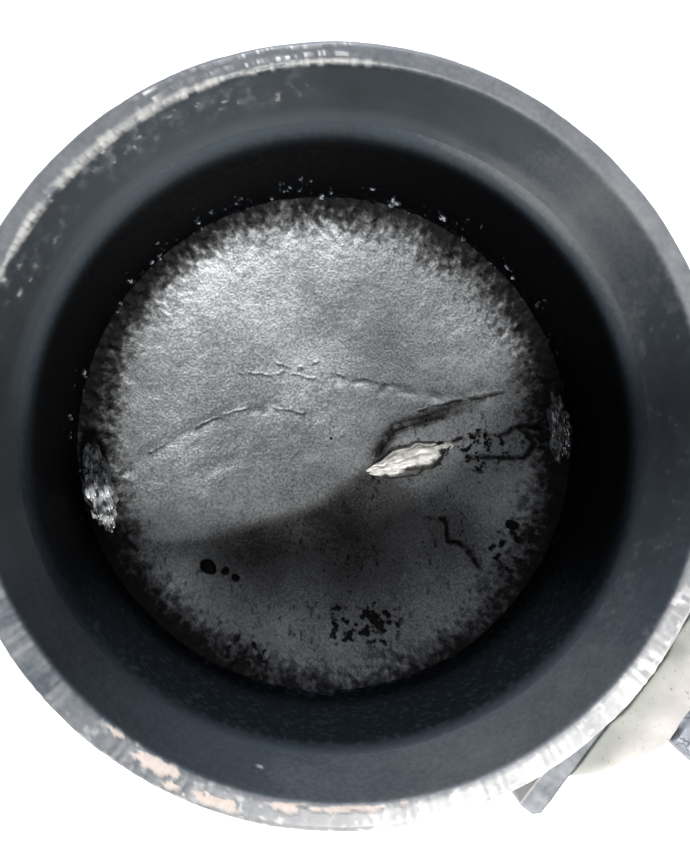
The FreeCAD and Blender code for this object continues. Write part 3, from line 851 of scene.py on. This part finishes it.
def makeClinkers():
    material = glassyClinker()
    for clinker in clinkers:
        turn = math.radians(clinker["bearing"])
        centre = (clinker["reach"] * math.cos(turn), clinker["reach"] * math.sin(turn), clinker["height"])
        points, faces = lump(clinker["size"], clinker["seed"], rough=0.42, pitted=0.22)
        # one end is drawn pale silver: painted glints
        end = fade(points[:, 0], clinker["glintFrom"], clinker["glintFrom"] + 2.0)
        paintedGlint = end * fade(layeredNoise(points, 1.6, 3, clinker["seed"] + 3), -0.1, 0.3)
        along = clinker["bearing"] + 90.0                           # it lies along the wall
        piece = placed(clinker["name"], points, faces, centre, along, dict(paintedGlint=paintedGlint))
        fit(piece, "crucible", "glassy_clinker", material, clinker["node"])


def dullBead():
    # a bead of metal that melted and set: pale, slightly yellowish grey, wrinkled, with soft highlights
    material, tree, shader, place = startMaterial("dullMetalBead", {"Metallic": 0.3})
    grain = addNode(tree, "TexNoise", {"Scale": perMetre(0.8), "Detail": 4.0}, {"Vector": place})
    metal = addNode(tree, "ValToRGB", None, {"Fac": grain}, [(0.3, "#A9A8A2"), (0.7, "#D6D5CF")])
    # one side is drawn dark as painted shade, with a few specks of soot at one end
    shadeAndSoot = addNode(tree, "Attribute", {"attribute_name": "shadeAndSoot"}).outputs["Fac"]
    colour = addNode(tree, "Mix", {"data_type": "RGBA", 7: toLinear("#1E1E1D")}, {0: shadeAndSoot, 6: metal})
    join(tree, shader, {"Base Color": colour, **grainySkin(tree, grain, 0.4, 0.65, 0.6, 0.06)})
    return material


def makeBead():
    points, faces = lump(bead["size"], bead["seed"], rough=0.24, pitted=0.08)
    along = np.clip(points[:, 0] / (bead["size"][0] * 0.52), -1.0, 1.0)
    # it draws out to a point at each end, bows and wavers a little
    points[:, 1:] *= (1.0 - np.abs(along) ** 3 * 0.93)[:, None]
    wavering = layeredNoise(points * np.array([1.0, 0.0, 0.0]), 3.5, 2, bead["seed"] + 2)
    points[:, 1] += 0.5 * along ** 2 + 0.9 * wavering
    blotch = layeredNoise(points, 1.4, 3, bead["seed"] + 1)
    # the lower side is drawn dark: painted shade; the black specks at the end are soot
    shadeAndSoot = fade(-points[:, 1] + 1.1 * blotch, 0.7, 1.7)
    shadeAndSoot = np.maximum(shadeAndSoot, fade(along, 0.25, 0.6) * fade(blotch, 0.05, 0.25))
    centre = (*bead["place"], crust["middle"] - bead["sunk"])
    piece = placed("brightBead", points, faces, centre, bead["bearing"], dict(shadeAndSoot=shadeAndSoot))
    fit(piece, "crucible", "metal_bead", dullBead(), "bright_bead")


makeClinkers()
makeBead()
print("clinkers and bead are in place")


holder = dict(
    # each piece: how fine it is remeshed, how round its edges wear, how deep its skin is worn and how large
    # the dents are; the socket's root is squeezed flatter than the rest of it
    hoop=dict(voxel=0.33, soften=3, depth=0.12, dent=3.0, seed=411),
    bar=dict(voxel=0.22, soften=3, depth=0.2, dent=2.2, seed=421),
    socket=dict(voxel=0.25, soften=30, depth=0.22, dent=2.5, seed=431, squeeze=0.38, squeezeReach=4.5),
    arm=dict(voxel=0.3, soften=5, depth=0.4, dent=2.6, seed=441),
)


def workedCopy(name, node, wear):
    # the node's own form, remeshed finely and worn; it only ever loses material, so it stays inside the node
    piece = addObject(name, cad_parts[node].data.copy())
    remesh = piece.modifiers.new("remesh", "REMESH")
    remesh.mode = "VOXEL"
    remesh.voxel_size = wear["voxel"] * metre
    soften = piece.modifiers.new("soften", "SMOOTH")
    soften.factor = 0.5
    soften.iterations = wear["soften"]
    settle(piece)
    mesh = piece.data
    places = np.empty(len(mesh.vertices) * 3)
    normals = np.empty(len(mesh.vertices) * 3)
    mesh.vertices.foreach_get("co", places)
    mesh.vertex_normals.foreach_get("vector", normals)
    points = places.reshape(-1, 3) / metre
    loss = wear["depth"] * 0.5 * (1.0 - layeredNoise(points, wear["dent"], 3, wear["seed"]))
    worn = points - normals.reshape(-1, 3) * loss[:, None]
    middle = (worn[:, 2].min() + worn[:, 2].max()) / 2.0
    root = 1.0 - fade(worn[:, 0] - worn[:, 0].min(), 0.0, wear.get("squeezeReach", 1.0))
    root *= fade(np.abs(worn[:, 1]), 4.0, 8.0)                    # the shank's bore keeps its wall
    worn[:, 2] = middle + (worn[:, 2] - middle) * (1.0 - wear.get("squeeze", 0.0) * root)
    mesh.vertices.foreach_set("co", (worn * metre).reshape(-1))
    mesh.polygons.foreach_set("use_smooth", [True] * len(mesh.polygons))
    outwards = points[:, 0] - points[:, 0].min()
    # darker towards the vessel: painted shadow of the rim, which the socket's material reads
    paintedRimShadow = 1.0 - fade(outwards + 1.6 * layeredNoise(points, 3.0, 3, 401), 0.5, 4.5)
    # the inner face is marked to be drawn pale: painted light
    paintedLitFace = 1.0 - fade(outwards, 0.2, 0.4)
    mark(mesh, dict(paintedRimShadow=paintedRimShadow, paintedLitFace=paintedLitFace))
    return piece


def forgedSteel():
    # mild steel, forged and wiped clean: blue-grey, satin, with faint scale left in the low spots
    material, tree, shader, place = startMaterial("forgedSteel", {"Metallic": 0.45})
    scale = addNode(tree, "TexNoise", {"Scale": perMetre(1.8), "Detail": 5.0}, {"Vector": place})
    steel = addNode(tree, "ValToRGB", None, {"Fac": scale}, [
        (0.25, "#4D5055"), (0.5, "#6B6E72"), (0.75, "#808388")])
    # the side that bears on the hoop is drawn pale: painted light on a face in shade under the rim
    paintedLitFace = addNode(tree, "Attribute", {"attribute_name": "paintedLitFace"}).outputs["Fac"]
    colour = addNode(tree, "Mix", {"data_type": "RGBA", 7: toLinear("#D6D3D3")}, {0: paintedLitFace, 6: steel})
    join(tree, shader, {"Base Color": colour, **grainySkin(tree, scale, 0.5, 0.66, 0.5, 0.06)})
    return material


def bluedSpring():
    # spring steel, rolled and blued by heat: dark slate with straw and blue tints
    material, tree, shader, place = startMaterial("heatBluedSteel", {"Metallic": 0.85})
    tint = addNode(tree, "TexNoise", {"Scale": perMetre(8.0), "Detail": 4.0}, {"Vector": place})
    grain = addNode(tree, "TexNoise", {"Scale": perMetre(1.2), "Detail": 4.0}, {"Vector": place})
    blued = addNode(tree, "ValToRGB", None, {"Fac": tint}, [
        (0.3, "#2B3038"), (0.5, "#3F4857"), (0.68, "#6A6252")])
    worn = addNode(tree, "MapRange", {"From Min": 0.52, "From Max": 0.72, "To Max": 0.6}, {"Value": grain})
    colour = addNode(tree, "Mix", {"data_type": "RGBA", 7: toLinear("#23262B")}, {0: worn, 6: blued})
    join(tree, shader, {"Base Color": colour, **grainySkin(tree, grain, 0.32, 0.55, 0.4, 0.03)})
    return material


def biscuitPorcelain():
    # porcelain fired once and never glazed: warm cream, matt, freckled, and grey-green near the rim: painted
    # shadow
    material, tree, shader, place = startMaterial("biscuitPorcelain", {"IOR": 1.5, "Roughness": 0.72})
    cloud = addNode(tree, "TexNoise", {"Scale": perMetre(5.0), "Detail": 4.0}, {"Vector": place})
    fine = addNode(tree, "TexNoise", {"Scale": perMetre(0.6), "Detail": 4.0}, {"Vector": place})
    cream = addNode(tree, "ValToRGB", None, {"Fac": cloud}, [(0.3, "#A09D9A"), (0.7, "#C1BDB8")])
    paintedRimShadow = addNode(tree, "Attribute", {"attribute_name": "paintedRimShadow"}).outputs["Fac"]
    toneAndShade = addNode(tree, "Mix", {"data_type": "RGBA", 7: toLinear("#9A9D96")}, {0: paintedRimShadow, 6: cream})
    freckles = addNode(tree, "MapRange", {"From Min": 0.66, "From Max": 0.72, "To Max": 0.7},
                       {"Value": fine})
    colour = addNode(tree, "Mix", {"data_type": "RGBA", 7: toLinear("#5F5A54")}, {0: freckles, 6: toneAndShade})
    bump = addNode(tree, "Bump", {"Strength": 0.5, "Distance": 0.05 * metre}, {"Height": fine})
    join(tree, shader, {"Base Color": colour, "Normal": bump})
    return material


def scaledIron():
    # wrought iron that has lived in the fire: blue-grey oxide scale, cracked, with pale spots where it flaked
    material, tree, shader, place = startMaterial("scaledIron", {"Metallic": 0.4})
    scale = addNode(tree, "TexNoise", {"Scale": perMetre(2.6), "Detail": 5.0}, {"Vector": place})
    oxide = addNode(tree, "ValToRGB", None, {"Fac": scale}, [
        (0.3, "#52565D"), (0.5, "#7E838B"), (0.7, "#989DA4")])
    wobble = addNode(tree, "TexNoise", {"Scale": perMetre(2.2), "Detail": 3.0}, {"Vector": place})
    bent = addNode(tree, "VectorMath", {"operation": "MULTIPLY_ADD", 1: (0.004, 0.004, 0.004)},
                   {0: wobble.outputs["Color"], 2: place})
    cells = addNode(tree, "TexVoronoi", {
        "feature": "DISTANCE_TO_EDGE", "Scale": perMetre(4.2)}, {"Vector": bent})
    line = addNode(tree, "MapRange", {"From Min": 0.0, "From Max": 0.04, "To Min": 0.6, "To Max": 0.0},
                   {"Value": cells.outputs["Distance"]})
    cracked = addNode(tree, "Mix", {"data_type": "RGBA", 7: toLinear("#1C1D20")}, {0: line, 6: oxide})
    flaked = addNode(tree, "MapRange", {"From Min": 0.68, "From Max": 0.71}, {"Value": scale})
    colour = addNode(tree, "Mix", {"data_type": "RGBA", 7: toLinear("#C9CACB")}, {0: flaked, 6: cracked})
    matt = addNode(tree, "MapRange", {"To Min": 0.5, "To Max": 0.7}, {"Value": scale})
    relief = addNode(tree, "Math", {"operation": "SUBTRACT"}, {0: scale, 1: line})
    bump = addNode(tree, "Bump", {"Strength": 0.7, "Distance": 0.12 * metre}, {"Height": relief})
    join(tree, shader, {"Base Color": colour, "Roughness": matt, "Normal": bump})
    return material


def makeHolder():
    steel = forgedSteel()
    for name, node, wear, slotName, material in (
            ("carryingHoop", "carrying_hoop", "hoop", "spring_steel", bluedSpring()),
            ("crossbar", "crossbar", "bar", "forged_iron", steel),
            ("porcelainSocket", "porcelain_socket", "socket", "biscuit_porcelain", biscuitPorcelain()),
            ("handleArm", "handle_arm", "arm", "scaled_iron", scaledIron())):
        fit(workedCopy(name, node, holder[wear]), "holder", slotName, material, node)
    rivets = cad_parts["crossbar_rivets"]
    rivets.data.materials.clear()
    rivets.data.materials.append(steel)


makeHolder()
print("hoop, crossbar, socket and arm are forged")
